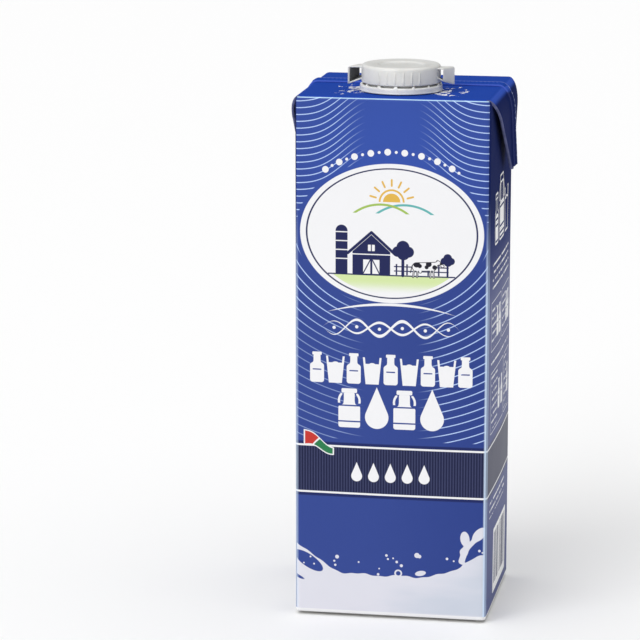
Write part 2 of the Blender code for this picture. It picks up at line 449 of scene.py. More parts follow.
def draw_lines(ground, at, along, across, outside, up):
    """Above: levels of v - 15 x exp(-(|u| / 21) ** 3). Below: levels of the distance to a middle."""
    bell = (-((across / BELL_WIDTH) ** 3.0)).calc("EXPONENT")
    above = repeated(bell.scaled(-BELL_HEIGHT, up), LINE_PITCH_ABOVE, LINE_HALF)
    below = repeated(disc(at, 0.0, RINGS_FROM, 0.0), LINE_PITCH_BELOW, LINE_HALF)
    upper = ramp(up, LINES_CHANGE, LINES_CHANGE + 1.0)
    weak = ramp(along, 4.0, -26.0) * ramp(up, 124.0, 106.0)
    shown = inked(above, LINE_SOFTNESS) * upper
    shown = shown + inked(below, LINE_SOFTNESS) * upper.scaled(-1.0, 1.0) * weak.scaled(-0.6, 1.0)
    fade = ramp(across, *LINES_FADE) * ramp(outside, 1.2, 1.6) * ramp(up, LINES_END, LINES_END + 0.4)
    return over(ground, PALE_LINE, shown * fade)


BEAD_PITCH, BEADS_EACH_WAY = 0.082, 9
BEAD_OUT, BEAD_SMALL, BEAD_LARGE = 4.4, 0.55, 1.25


def beads(along, up):
    """Large and small beads over the emblem, spaced by angle on an oval a little larger than it."""
    y, long, short = EMBLEM[1], EMBLEM[2] + BEAD_OUT, EMBLEM[3] + BEAD_OUT
    angle = (along / long).calc("ARCTAN2", (up - y) / short)
    count = (angle / BEAD_PITCH).calc("FLOOR")
    middle = (count + 0.5) * BEAD_PITCH
    aside = along - middle.calc("SINE") * long
    above = up - middle.calc("COSINE") * short - y
    size = (count * 0.5).calc("FRACT").scaled(2 * (BEAD_LARGE - BEAD_SMALL), BEAD_SMALL)
    away = (aside * aside + above * above).calc("SQRT")
    return most(away - size, (abs(angle) - BEADS_EACH_WAY * BEAD_PITCH) * long)


# %% [markdown]
# Inside the emblem a small farm stands in dark ink under a rising sun. It is drawn as a printer
# would cut it: solid shapes, with doors and hoops taken out of them.

# %% The farm in the emblem
GROUND = 132.0
BARN_MIDDLE, BARN_PEAK, BARN_PITCH = -7.6, 147.2, 48.0
SILO_MIDDLE, SILO_HALF = -19.0, 2.3
HOOPS = (148.0, 144.6, 141.2, 137.8)
TREES = ((4.4, 0.95), (21.3, 0.62))
CROWN = ((0.0, 11.2, 2.6), (-2.2, 9.4, 2.1), (2.2, 9.3, 2.2), (0.2, 8.6, 2.6))
FENCE_MIDDLE, POST_PITCH = 11.4, 4.0


def barn(at):
    """A gabled barn with an eave line, a loft window and a braced double door."""
    at = mirrored(at, BARN_MIDDLE)
    wall = least(block(at, 0.0, 138.4, 7.2, 6.4), block(at, 0.0, 144.6, 6.6, 2.8))
    wall = most(wall, half_plane(at, 0.0, BARN_PEAK, BARN_PITCH))
    roof = stroke(at, 9.0, 140.0, 0.0, 148.1, 0.55)
    door = block(at, 1.75, 135.0, 1.35, 2.7, 0.1)
    brace = stroke(at, 3.1, 132.4, 0.4, 137.6, 0.22)
    window = most(block(at, 0.0, 142.2, 1.3, 1.2, 0.2), -block(at, 0.0, 142.2, 0.2, 1.4, 0.1))
    eave = block(at, 0.0, 139.7, 7.4, 0.2, 0.1)
    return least(most(wall, -least(most(door, -brace), window, eave)), roof)


def silo(at):
    """A round silo with a domed top and white hoops."""
    at = moved(at, SILO_MIDDLE, 0.0)
    body = least(block(at, 0.0, 140.2, SILO_HALF, 8.2), disc(at, 0.0, 148.4, SILO_HALF))
    hoops = [block(at, 0.0, height, SILO_HALF + 0.2, 0.2, 0.1) for height in HOOPS]
    return most(body, -least(*hoops))


def tree_shape(at, x, size):
    """A round tree: a crown of overlapping discs on a thin trunk."""
    at = moved(at, x, GROUND)
    crown = [disc(at, dx * size, dy * size + 0.2, radius * size) for dx, dy, radius in CROWN]
    return least(*crown, stroke(at, 0.0, 0.0, 0.0, 8.0 * size, 0.6 * size))


def fence(at):
    """Two rails, and a post every four millimetres."""
    rails = [block(at, FENCE_MIDDLE, height, 10.4, 0.22, 0.2) for height in (133.7, 135.4)]
    posts = repeated(split(at)[0], POST_PITCH, 0.3)
    return least(*rails, most(posts, block(at, FENCE_MIDDLE, 134.3, 10.0, 2.1, 0.2)))


def farm(at):
    """All of the farm in one ink, standing on a thin ground line."""
    line = stroke(at, -24.0, GROUND - 0.1, 24.0, GROUND - 0.1, 0.25)
    return least(barn(at), silo(at), fence(at), line, *[tree_shape(at, *spot) for spot in TREES])


# %% The sun and the hills
SUN = (0.0, 157.2)
SUN_DISC, SUN_RING, SUN_LINE = 3.3, 4.55, 0.36
RAY_FROM, RAY_TO = 6.2, 8.4
HILLS = ((-4.0, 139.4, 16.8), (5.0, 138.4, 17.8))
HILL_LINE, HILL_FOOT = 0.42, 152.8


def sun(at):
    """A rising half sun in a ring, with seven rays."""
    at = moved(at, *SUN)
    shapes = [disc(at, 0.0, 0.0, SUN_DISC), abs(disc(at, 0.0, 0.0, SUN_RING)) - SUN_LINE]
    for turn in range(15, 180, 25):
        c, s = math.cos(math.radians(turn)), math.sin(math.radians(turn))
        shapes.append(stroke(at, RAY_FROM * c, RAY_FROM * s, RAY_TO * c, RAY_TO * s, SUN_LINE))
    return most(least(*shapes), half_plane(at, 0.0, 0.0, -90.0))


def hills(at):
    """Two low hills as thin arcs under the sun."""
    low = half_plane(at, 0.0, HILL_FOOT, -90.0)
    return [most(abs(disc(at, *hill)) - HILL_LINE, low) for hill in HILLS]


# %% The cow
COW_LEGS = ((-4.9, 0.4), (-3.4, 0.1), (1.6, 0.1), (3.0, -0.3))
COW_PATCHES = ((-3.6, 130.3, 1.3), (-2.4, 129.6, 0.8), (1.0, 130.4, 1.1),
               (0.2, 129.2, 0.75), (3.2, 129.2, 0.85), (5.6, 130.6, 0.5))


def cow(at):
    """A standing cow: a body blended from rounded strokes, and dark patches inside its outline."""
    torso = stroke(at, -3.6, 129.2, 2.4, 129.5, 1.75)
    neck = stroke(at, 2.6, 129.9, 4.6, 131.0, 0.85)
    muzzle = stroke(at, 4.8, 131.0, 6.3, 129.7, 0.62)
    head = least(muzzle, stroke(at, 4.2, 131.8, 5.0, 131.3, 0.3))
    legs = least(*[stroke(at, x, 125.3, x + lean, 128.2, 0.36) for x, lean in COW_LEGS])
    body = joined(torso, (neck, 1.2), (head, 0.5), (legs, 0.5))
    udder = disc(at, -2.2, 127.5, 0.75)
    tail = stroke(at, -5.2, 129.8, -5.9, 127.0, 0.18)
    return least(body, udder, tail), least(*[disc(at, *patch) for patch in COW_PATCHES])


# %% The whole emblem
def draw_emblem(colour, at, along, up, outside):
    """The oval with its keyline, the meadow, the farm, the sun over its hills, and the cow."""
    colour = layered(colour, (WHITE, outside), (INK, abs(outside + KEYLINE_INSET) - KEYLINE_HALF))
    tufts = (along * 0.9).calc("PINGPONG", 0.5) * 1.3
    meadow = most(up - 134.6 - tufts, outside + 3.2)
    colour = over(colour, MEADOW, inked(meadow) * ramp(up, 127.5, 133.0))
    sky = moved(at, 0.0, 5.6)
    near, far = hills(sky)
    outline, patches = cow(moved(at, 13.2, 9.3))
    return layered(
        colour, (INK, farm(moved(at, 0.0, 3.0))), (GOLD, sun(sky)), (TEAL, far), (GREEN, near),
        (COW, outline), (WHITE, outline + 0.26), (COW, most(patches, outline)))


# %% [markdown]
# Under the emblem come a thin white arc, a flourish of two crossing waves, and two rows of white
# dairy signs: bottles and glasses, then churns and drops.

# %% The arc, the flourish and the signs
ARC_OUTER, ARC_INNER = (0.0, 48.6, 75.6), (0.0, 23.0, 100.2)
ARC_FOOT = 117.0
FLOURISH_UP, FLOURISH_HALF, WAVE_TURN = 114.4, 26.0, 0.36
BOTTLE_FOOT, BOTTLE_PITCH, BOTTLES = 92.6, 7.1, 9
CHURN_FOOT, CHURN_PITCH, CHURNS = 75.4, 10.6, 4


def arc(at):
    """What lies inside one large circle and outside a larger one, above its own ends."""
    low = half_plane(at, 0.0, ARC_FOOT, -90.0)
    return most(disc(at, *ARC_OUTER), -disc(at, *ARC_INNER), low)


def flourish(at, along, across, up):
    """Two waves that cross, |v - height(u)| less a half width that tapers, and a seed in each loop."""
    taper = ((across / 25.0) ** 2.0).scaled(-0.6, 0.62)
    wave = (along * WAVE_TURN).calc("SINE")
    one = abs(wave.scaled(-3.0, up - FLOURISH_UP)) - taper
    two = abs(wave.scaled(2.2, up - FLOURISH_UP)) - taper * 0.75
    shapes = [most(least(one, two), across - FLOURISH_HALF)]
    for number in range(-3, 3):
        rise = 0.3 if number % 2 == 0 else -0.3
        shapes.append(disc(at, (number + 0.5) * math.pi / WAVE_TURN, FLOURISH_UP + rise, 0.62))
    return least(*shapes)


def bottle(at, x, y):
    """A milk bottle about 12 mm tall, standing on y, with its milk level as a line."""
    body = block(at, x, y + 3.7, 2.7, 3.7, 1.0)
    neck = block(at, x, y + 8.2, 1.35, 2.6, 0.5)
    lip = block(at, x, y + 11.2, 1.8, 0.6)
    level = block(at, x, y + 5.0, 1.7, 0.25, 0.2)
    return most(least(joined(body, (neck, 1.8)), lip), -level)


def glass(at, x, y):
    """A tapered glass of milk: two leaning sides, a thin rim and a curved level."""
    at = mirrored(at, x)
    side = half_plane(at, 2.5, y, -6.0)
    inner = most(side + 0.75, block(at, 0.0, y + 9.4, 3.4, 1.5), -disc(at, 0.0, y + 6.4, 1.9))
    return most(side, block(at, 0.0, y + 5.2, 4.0, 5.2), -inner)


def churn(at, x, y):
    """A milk churn about 15 mm tall, with a sloping shoulder, two handles and a lid."""
    body = block(at, x, y + 4.3, 4.2, 4.3, 0.9)
    shoulder = block(at, x, y + 10.4, 2.1, 3.2, 0.5)
    lid = block(at, x, y + 14.4, 3.0, 0.85, 0.5)
    handle = abs(disc(at, x, y + 10.4, 4.0)) - 0.42
    handle = most(handle, block(at, x, y + 11.4, 4.6, 1.9), -block(at, x, y + 11.4, 2.7, 3.0))
    hoops = least(block(at, x, y + 2.4, 4.4, 0.28, 0.2), block(at, x, y + 8.6, 4.0, 0.28, 0.2))
    return most(least(joined(body, (shoulder, 2.6)), lid, handle), -hoops)


def drop(at, x, y, size):
    """A falling drop: a disc with two straight flanks that meet above it."""
    at = mirrored(at, x)
    flank = half_plane(at, 0.0, y + 2.6 * size, 22.6)
    return least(disc(at, 0.0, y, size), most(flank, half_plane(at, 0.0, y + 0.38 * size, -90.0)))


def signs(at):
    """Two rows: nine bottles and glasses in turn, then churns and drops in turn."""
    shapes = []
    for number in range(BOTTLES):
        x = (number - (BOTTLES - 1) / 2) * BOTTLE_PITCH
        shapes.append((bottle, glass)[number % 2](at, x, BOTTLE_FOOT))
    for number in range(0, CHURNS, 2):
        x = (number - (CHURNS - 1) / 2) * CHURN_PITCH
        shapes.append(churn(at, x, CHURN_FOOT))
        shapes.append(drop(at, x + CHURN_PITCH, CHURN_FOOT + 4.4, 4.5))
    return least(*shapes)


# %% [markdown]
# A dark strip with fine upright lines crosses the front, with a white line at each edge and a
# small two-coloured pennant over its corner. The real pinstripes are about a millimetre apart.

# %% The strip and the pennant
STRIP_LOW, STRIP_HIGH = 49.4, 67.8
STRIP_LINE, STRIP_SHADOW = 0.36, 1.5
PINSTRIPE_PITCH = 1.05
PENNANT_BOX, PENNANT_INNER_BOX = (-27.7, 68.0, 5.9, 8.0), (-27.7, 68.0, 5.4, 8.0)


def draw_strip(colour, along, up):
    """The strip by its distance |v - middle| - half height: shadow, ground, pinstripes, edges."""
    strip = abs(up - (STRIP_HIGH + STRIP_LOW) / 2) - (STRIP_HIGH - STRIP_LOW) / 2
    colour = over(colour, BAND_SHADE, inked(strip - STRIP_SHADOW, 0.4) * 0.9)
    colour = layered(colour, (BAND, strip))
    stripes = (along / PINSTRIPE_PITCH).calc("PINGPONG", 0.5) - 0.2
    colour = over(colour, BAND_LINE, inked(stripes, 0.25) * inked(strip) * 0.75)
    return layered(colour, (WHITE, abs(strip) - STRIP_LINE))


def draw_pennant(colour, at, along, up):
    """A waving ribbon: |v - height(u)| less a half height that narrows to the right, in two inks."""
    wave = ((along + 33.0) * 0.52).calc("SINE") * 0.8
    height = up - along.scaled(-0.42, 56.9) - wave
    band = abs(height) - along.scaled(-0.14, -1.6)
    ribbon = most(band, block(at, *PENNANT_BOX))
    inner = most(band + 0.45, block(at, *PENNANT_INNER_BOX))
    seam = height.scaled(-0.6, along + 28.6)
    return layered(colour, (WHITE, ribbon), (RED, most(inner, seam + 0.25)),
                   (LEAF, most(inner, -seam + 0.25)))


# %% [markdown]
# The milk at the foot is one level line with thrown shapes joined to it. A smooth minimum joins
# them the way a liquid does, with a fillet instead of a corner.

# %% The milk
MILK_LEVEL = 17.3
SMALL_DROPS = (
    (-20.6, 23.9, 0.75), (-21.7, 22.2, 0.4), (-21.3, 20.6, 0.45), (-12.2, 22.2, 0.35),
    (-4.2, 20.0, 0.3), (-1.4, 25.4, 0.5), (-0.8, 24.0, 0.4), (1.2, 24.4, 0.32),
    (2.6, 23.0, 0.5), (4.4, 21.6, 0.6), (10.4, 26.0, 1.0), (11.4, 25.6, 0.7),
    (22.0, 25.2, 0.5), (24.6, 24.4, 0.35), (-31.0, 23.4, 0.35), (-33.6, 20.8, 0.3),
    (-29.6, 20.6, 0.35), (34.4, 28.9, 0.5), (35.6, 28.2, 0.35), (-4.6, 17.7, 0.5))


def bump_at(along, x, width, height):
    """A bell: height x exp(-((u - x) / width) ** 2)."""
    return (-(((along - x) / width) ** 2.0)).calc("EXPONENT") * height


def crown(at):
    """Milk thrown up in two fingers at the right."""
    return joined(
        stroke(at, 27.6, 24.5, 29.0, 29.0, 1.15), (oval(at, 28.8, 33.4, 2.9, 1.75, 96.0), 1.6),
        (stroke(at, 29.6, 29.6, 33.6, 34.2, 0.85), 1.2), (oval(at, 34.4, 35.4, 3.4, 1.9, 46.0), 1.2),
        (disc(at, 28.4, 28.2, 1.5), 1.0))


def milk(at, along, up):
    """The level, a sheet thrown up at the left with a hole in it, the crown, and drops."""
    ripple = (along * 0.42).calc("SINE") * 0.4 + (along * 1.13).calc("SINE") * 0.16
    rise = bump_at(along, -38.0, 11.5, 11.5) + bump_at(along, 37.5, 13.0, 9.8)
    surface = up - (rise + ripple + MILK_LEVEL)
    surface = joined(surface, (crown(at), 2.0), (oval(at, 11.8, 18.9, 2.1, 1.0, 12.0), 1.0))
    hole = least(oval(at, -31.8, 21.8, 6.6, 2.5, -33.0), oval(at, -36.4, 15.6, 3.2, 0.6, -24.0))
    surface = surface.calc("SMOOTH_MAX", -hole, 0.8)
    ring = abs(disc(at, 3.2, 18.5, 1.2)) - 0.3
    return least(surface, ring, *[disc(at, *spot) for spot in SMALL_DROPS])


def milk_colour(at, along, up):
    """White milk with long soft folds, turning greyer down to the right."""
    folds = noise(at.place("MULTIPLY", (0.03, 0.13, 1.0)), 1.0)
    shade = ramp(folds.scaled(3.4, along.scaled(0.06, up * -0.1)), 0.2, 2.8)
    return over(MILK, MILK_SHADE, shade * ramp(up, 2.4, 3.4))


# %% [markdown]
# All layers come together here, from the ground colour up. A last pale line along the crease of
# the top fold is a painted highlight, where the rounded fold catches the light, and the upright
# corners carry a paler painted highlight of the same kind. At the foot a dark line is painted
# shadow, for the narrow gap under the base.

# %% The whole front
TOP_CREASE = (HEIGHT - 0.55 * MM) / MM
FOOT_LINE = 2.6
CONTACT_LOW, CONTACT_HIGH = BASE_LIFT / MM + 0.25, BASE_LIFT / MM + 0.55
EAR_LOW, EAR_HIGH = 118.0, 168.0
STRIP_DROPS, DROP_PITCH, DROP_UP, DROP_SIZE = 5, 6.5, 56.4, 2.1
GLOW_FROM = 182.0
FRONT_CORNER, SIDE_CORNER = 35.5, 31.5


def draw_edges(colour, across, up, start, strength, white):
    """A painted highlight on the upright corners from start outward, a pale foot, and painted shadow
    under it.
    """
    # Painted highlight where the rounded corner catches the light, fading out up under the ears.
    corner = ramp(across, start, start + 0.7) * ramp(up, EAR_HIGH, EAR_LOW)
    colour = over(colour, CORNER_HIGHLIGHT, corner * strength)
    colour = layered(colour, (white, up - FOOT_LINE))
    return over(colour, CONTACT_SHADE, ramp(up, CONTACT_HIGH, CONTACT_LOW))


def draw_front(where):
    """All layers of the front print, from the ground colour up."""
    along, up = split(where)
    across = abs(along)
    colour = over(ROYAL, ROYAL_LIGHT, ramp(disc(where, 0.0, GLOW_FROM, 0.0), 60.0, 4.0))
    colour = over(colour, ROYAL_DEEP, ramp(along, -14.0, 36.0) * ramp(up, 190.0, 90.0) * 0.7)
    outside = oval(where, *EMBLEM)
    colour = draw_lines(colour, where, along, across, outside, up)
    colour = layered(colour, (WHITE, beads(along, up)))
    colour = draw_emblem(colour, where, along, up, outside)
    shapes = least(arc(where), flourish(where, along, across, up), signs(where))
    colour = draw_strip(layered(colour, (WHITE, shapes)), along, up)
    middle = (STRIP_DROPS - 1) / 2
    places = [(k - middle) * DROP_PITCH for k in range(STRIP_DROPS)]
    drops = [drop(where, x, DROP_UP, DROP_SIZE) for x in places]
    colour = layered(colour, (WHITE, least(*drops)))
    colour = draw_pennant(colour, where, along, up)
    colour = over(colour, milk_colour(where, along, up), inked(milk(where, along, up)))
    # The corner highlight is painted stronger on the right corner than on the left.
    strength = ramp(along, -1.0, 1.0).scaled(0.55, 0.35)
    colour = draw_edges(colour, across, up, FRONT_CORNER, strength, WHITE)
    # Painted highlight: a pale cyan line on the top fold, where the rounded fold catches the light.
    return over(colour, TOP_CREASE_HIGHLIGHT, inked(abs(up - TOP_CREASE) - 0.16) * 0.85)


PRINT_FRONT = laminated("laminated_front_print", draw_front, FRONT_GLOSS)

# %% [markdown]
# ## The side print
# A carton's side carries the small print. Here it is a navy ground with a line drawing of a
# churn between a bottle and a glass, bars in place of words, ruled tables and a white box of
# upright bars, so that it has the weight of small print without saying anything.

# %% The side print
WORD_ROWS, WORD_CELL, WORD_HALF, WORD_SHARE = 2.9, 1.35, 0.42, 0.3
WORD_AREAS = ((0.0, 134.0, 24.0, 5.8), (0.0, 100.6, 26.0, 1.9), (-4.0, 42.6, 22.0, 3.4))
TABLES = ((-13.6, 114.2, 13.0, 9.4), (14.6, 114.2, 12.2, 9.4), (-9.0, 84.4, 17.6, 11.8),
          (19.6, 84.4, 8.4, 11.8))
TABLE_LINE = 0.17
CODE_BOX = (5.0, 19.0, 19.0, 13.0)
CODE_BARS, CODE_SHARE = 1.7, 0.52


def words(at, up):
    """Bars in rows: thin in v, and broken along u where a random number of each cell is high."""
    cells = at.place("MULTIPLY", (1 / WORD_CELL, 1 / WORD_ROWS, 0.0)).place("FLOOR")
    chance = at.make("ShaderNodeTexWhiteNoise", 0, {0: cells}, noise_dimensions="2D")
    return most(repeated(up, WORD_ROWS, WORD_HALF), chance.scaled(-1.0, WORD_SHARE))


def draw_table(colour, at, bars, x, y, half_width, half_height):
    """A ruled box with bars for words in its left half and one or two bottles in the right."""
    edge = abs(block(at, x, y, half_width, half_height, 0.8)) - TABLE_LINE
    text = block(at, x - half_width * 0.45, y, half_width * 0.45, half_height - 1.4)
    shares = (0.24, 0.73) if half_width > 10 else (0.5,)
    sign = least(*[bottle(at, x + half_width * share, y - 6.0) for share in shares])
    for shape, strength in ((edge, 0.8), (most(bars, text), 0.7), (sign, 0.85)):
        colour = over(colour, SIDE_WHITE, inked(shape) * strength)
    return colour


def draw_code_box(colour, at, along):
    """A white box of upright bars: a random number of each thin column decides if it is dark."""
    x, y, half_width, half_height = CODE_BOX
    column = (along * CODE_BARS).calc("FLOOR")
    bar = column.make("ShaderNodeTexWhiteNoise", 0, {"W": column}, noise_dimensions="1D") - CODE_SHARE
    inner = block(at, x, y + 0.8, half_width - 2.4, half_height - 2.6, 0.1)
    return layered(colour, (SIDE_WHITE, block(at, *CODE_BOX, 0.8)), (NAVY, most(bar, inner)))


def draw_side(where):
    """Navy, the drawing, bars for words, tables, the strip, and the box of upright bars."""
    along, up = split(where)
    # The ground turns from blue to navy up under the ears: painted shade of the ears.
    colour = over(SIDE_BLUE, NAVY, ramp(up, EAR_LOW, EAR_HIGH))
    large = where.place("MULTIPLY", (0.62, 0.62, 1.0))
    drawing = least(churn(large, 0.0, 89.6), bottle(large, -9.2, 89.8), glass(large, 9.4, 89.8))
    colour = layered(colour, (SIDE_WHITE, least(abs(drawing) - 0.22, drawing + 0.75)))
    bars = words(where, up)
    for area in WORD_AREAS:
        colour = over(colour, SIDE_WHITE, inked(most(block(where, *area), bars)) * 0.85)
    for table in TABLES:
        colour = draw_table(colour, where, bars, *table)
    colour = draw_code_box(draw_strip(colour, along, up), where, along)
    return draw_edges(colour, abs(along), up, SIDE_CORNER, 0.45, SIDE_WHITE)


def side_haze(where):
    """Rougher by 0.6 under the ears, where the film was rubbed as they were pressed on."""
    return ramp(split(where)[1], EAR_LOW, EAR_HIGH) * 0.6


PRINT_SIDE = laminated("laminated_side_print", draw_side, SIDE_GLOSS, side_haze)

# %% [markdown]
# ## The top print and the base
# The top is blue with a splash on each side of the cap. Just past the fold the ears carry the
# sides' navy. The base is left white. A point's height decides which print the top piece shows,
# so these prints read the place on the object and not the place on the panel.

# %% The top print and the base
TOP = HEIGHT / MM
TOP_PRINT_EDGE = TOP - 1.5
SPLASH_FROM, SPLASH_TO, SPLASH_TURN = 15.8, 28.0, 0.6
FIN_LINE_HALF, FIN_DOT_PITCH = 0.42, 2.4


def splash(solid):
    """Milk thrown out beside the ring: noise in polar places, stretched along the rays.

    Ink lies where the noise passes a level, and the level rises with the radius, so the streaks
    break up into drops further out.
    """
    place = moved(solid, 0.0, CAP_Y).place("MULTIPLY", (1 / MM, 1 / MM, 0.0))
    x, y = split(place)
    reach = place.place("LENGTH", output=1)
    turn = y.calc("ARCTAN2", abs(x))
    polar = {0: turn * 5.2, 1: reach * 0.26, 2: x.calc("SIGN") * 4.0}
    streaks = noise(solid.make("ShaderNodeCombineXYZ", 0, polar), 1.0, 4.0, 0.62)
    level = ramp(reach, SPLASH_FROM, SPLASH_TO).scaled(0.14, 0.49)
    beside = ramp(abs(turn), SPLASH_TURN + 0.1, SPLASH_TURN - 0.1)
    return ramp(streaks - level, 0.0, 0.02) * beside * ramp(reach, SPLASH_TO, SPLASH_TO - 2.0)


def height_of(solid):
    """How high a point of the object is, in millimetres."""
    return solid.make("ShaderNodeSeparateXYZ", 2, {0: solid}) / MM


def draw_top(where):
    """Blue over the top, brighter at its folds as a painted highlight, navy down the ears, splashes
    beside the cap.
    """
    solid = own_place(where.tree)
    up = height_of(solid)
    # Painted highlight: a brighter blue on the rounded folds just under the top.
    colour = over(TOP_BLUE, FOLD_HIGHLIGHT_BLUE, ramp(up, TOP - 0.02, TOP - 0.5) * 0.9)
    colour = over(colour, WHITE, splash(solid) * ramp(up, TOP - 0.3, TOP - 0.1))
    return over(colour, NAVY, ramp(up, TOP_PRINT_EDGE + 0.5, TOP_PRINT_EDGE - 1.4))


def draw_fin(where):
    """The same print, a painted highlight on the fold that is duller down the ears, and painted glints
    in dots at the free edge.
    """
    up = height_of(own_place(where.tree))
    along, far = split(where)
    # Painted highlight on the fin's fold, duller down the ears.
    fold = inked(abs(along - FIN_START / MM - 0.1) - 0.3, 0.3)
    fold_highlight = over(FIN_FOLD_HIGHLIGHT_LOW, FIN_FOLD_HIGHLIGHT_TOP, ramp(up, TOP_PRINT_EDGE - 1.0, TOP_PRINT_EDGE))
    colour = over(draw_top(where), fold_highlight, fold * 0.8)
    # Painted glints where the lifted, crimped free edge catches the light.
    line = inked(abs(along - (FIN_START + FIN_WIDTH) / MM + 0.5) - FIN_LINE_HALF)
    dot = ramp((far / FIN_DOT_PITCH).calc("FRACT"), 0.62, 0.72)
    return over(colour, FIN_DOTTED_HIGHLIGHT, line * dot.scaled(0.6, 0.3))


def draw_base(where):
    """Unprinted white board, a little uneven in tone at random."""
    return over(BOARD_PALE, BOARD_SHADED, ramp(noise(own_place(where.tree), 60.0, 3.0), 0.35, 0.7))


def draw_fold(where):
    """A sharp fold: the ink has cracked there, and the rim is painted paler as a highlight, where it
    catches the light.
    """
    return over(CRACKED_AND_HIGHLIT, CRACKED_AND_HIGHLIT_PALE, ramp(noise(where, 0.22, 3.0), 0.3, 0.75))


PRINT_TOP = laminated("laminated_top_print", draw_top, TOP_GLOSS)
PRINT_FIN = laminated("laminated_fin_print", draw_fin, TOP_GLOSS)
PRINT_FOLD = laminated("laminated_cracked_and_highlit_fold", draw_fold, TOP_GLOSS)
PRINT_BASE = laminated("laminated_plain_board", draw_base, FRONT_GLOSS)

# %% [markdown]
# ## The folded body
# The body is a stack of rounded rectangles. Each row is one turn round the carton. Each panel
# swells a little, because the milk presses on it. The first and last rows close in to form the
# base and the top. The print's u starts in the middle of each panel, so the front and the sides
# can be laid out from their own middles. On the back panel the sheet laps over itself: that long
# seam is a step of a quarter of a millimetre.

# %% The folded body's net
FLAT_CUTS, ARC_CUTS, FOLD_CUTS = 28, 4, 7
ROWS_UP, ROWS_IN = 56, 9
SEAM_LEFT, SEAM_RIGHT, SEAM_STEP = 20.0 * MM, 28.0 * MM, 0.25 * MM
SEAM_BEVEL = 0.15 * MM
DENT_SHARE = 0.05
TOP_PRINT_FROM = 5
FRONT_NUMBER, SIDE_NUMBER, TOP_NUMBER, BASE_NUMBER = range(4)


def panel_columns(half, extra=()):
    """Across one panel: place on the flat run, turn of the corner arc, and length along the board."""
    flat = half - CORNER_RADIUS
    turns = np.linspace(math.pi / 4, 0, ARC_CUTS + 1)[:-1]
    runs = np.sort(np.concatenate([np.linspace(-flat, flat, FLAT_CUTS + 1), extra]))
    t = np.concatenate([np.full(ARC_CUTS, -flat), runs, np.full(ARC_CUTS, flat)])
    turn = np.concatenate([-turns, np.zeros(len(runs)), turns[::-1]])
    return t, turn, t + turn * CORNER_RADIUS


def body_rows():
    """Up the carton, from the middle of the base to the middle of the top: inset, height, share."""
    turn = np.linspace(0, math.pi / 2, FOLD_CUTS + 1)
    inward = np.linspace(0, 1, ROWS_IN + 1)[1:-1]
    low, high = BASE_LIFT + FOLD_RADIUS, HEIGHT - FOLD_RADIUS
    rise = np.linspace(low, high, ROWS_UP + 1)[1:-1]
    flat = np.full(len(inward), FOLD_RADIUS)
    closing, opening = FOLD_RADIUS * (1 - np.cos(turn)), FOLD_RADIUS * (1 - np.sin(turn))
    inset = [flat, opening, 0 * rise, closing, flat]
    z = [0 * inward + BASE_LIFT, BASE_LIFT + closing, rise,
         high + FOLD_RADIUS * np.sin(turn), 0 * inward + HEIGHT]
    keep = [inward, 1 + 0 * turn, 1 + 0 * rise, 1 + 0 * turn, inward[::-1]]
    return np.concatenate(inset), np.concatenate(z), np.concatenate(keep)


def panel_net(size, away, swell, facing, slot, seam):
    """One panel with half of each neighbouring corner, as points, print places and print numbers.

    A point is normal x outward + tangent x sideways, where outward = depth / 2 - inset - radius x
    (1 - cos(turn)) + swell x sin(pi x height share) x cos(pi/2 x width share) + seam step. The
    swell is up to a tenth weaker in places, in slow waves, as board is never quite even.
    """
    inset, z, keep = (values[:, None] for values in body_rows())
    edges = (SEAM_LEFT, SEAM_LEFT + SEAM_BEVEL, SEAM_RIGHT - SEAM_BEVEL, SEAM_RIGHT) if seam else ()
    t, turn, u = (values[None] for values in panel_columns(size / 2, edges))
    height_share = np.clip((z - BASE_LIFT) / (HEIGHT - BASE_LIFT), 0, 1)
    width_share = t / (size / 2 - CORNER_RADIUS)
    waves = np.sin(t / MM * 0.21 + facing) * np.sin(z / MM * 0.083 + facing)
    bulge = swell * np.sin(math.pi * height_share) * np.cos(math.pi / 2 * width_share)
    bulge = bulge * (1 - DENT_SHARE * (1 + waves))
    if seam:
        lap = np.interp(t, edges, (0, SEAM_STEP, SEAM_STEP, 0))
        bulge = bulge + lap * np.interp(height_share, (0, 0.02, 0.98, 1), (0, 1, 1, 0))
    radius = CORNER_RADIUS - inset
    outward = (away / 2 - inset - radius * (1 - np.cos(turn)) + bulge) * keep
    sideways = (t + radius * np.sin(turn)) * keep
    normal = np.array([math.cos(facing), math.sin(facing)])
    tangent = np.array([-normal[1], normal[0]])
    flat = outward[..., None] * normal + sideways[..., None] * tangent
    points = np.concatenate([flat, np.broadcast_to(z, outward.shape)[..., None]], -1)
    places = np.stack(np.broadcast_arrays(u, z), -1) / MM
    blank = np.stack([places[:, :-1], places[:, 1:]], axis=2)
    rows = len(z)
    slots = np.full((rows - 1, u.shape[1] - 1), slot)
    slots[rows - ROWS_IN - FOLD_CUTS + TOP_PRINT_FROM - 1:] = TOP_NUMBER
    slots[:ROWS_IN - 1] = BASE_NUMBER
    return points[:, :-1], blank, slots


PANELS = (
    (WIDTH, DEPTH, FRONT_SWELL, -math.pi / 2, FRONT_NUMBER, False),
    (DEPTH, WIDTH, SIDE_SWELL, 0.0, SIDE_NUMBER, False),
    (WIDTH, DEPTH, FRONT_SWELL, math.pi / 2, FRONT_NUMBER, True),
    (DEPTH, WIDTH, SIDE_SWELL, math.pi, SIDE_NUMBER, False))
panels = [panel_net(*panel) for panel in PANELS]
body_net, body_blank, body_slots = (np.concatenate(parts, axis=1) for parts in zip(*panels))
board_prints = (PRINT_FRONT, PRINT_SIDE, PRINT_TOP, PRINT_BASE)
board = closed_net("board", body_net, board_prints, body_slots, body_blank)
belongs(board, "carton")

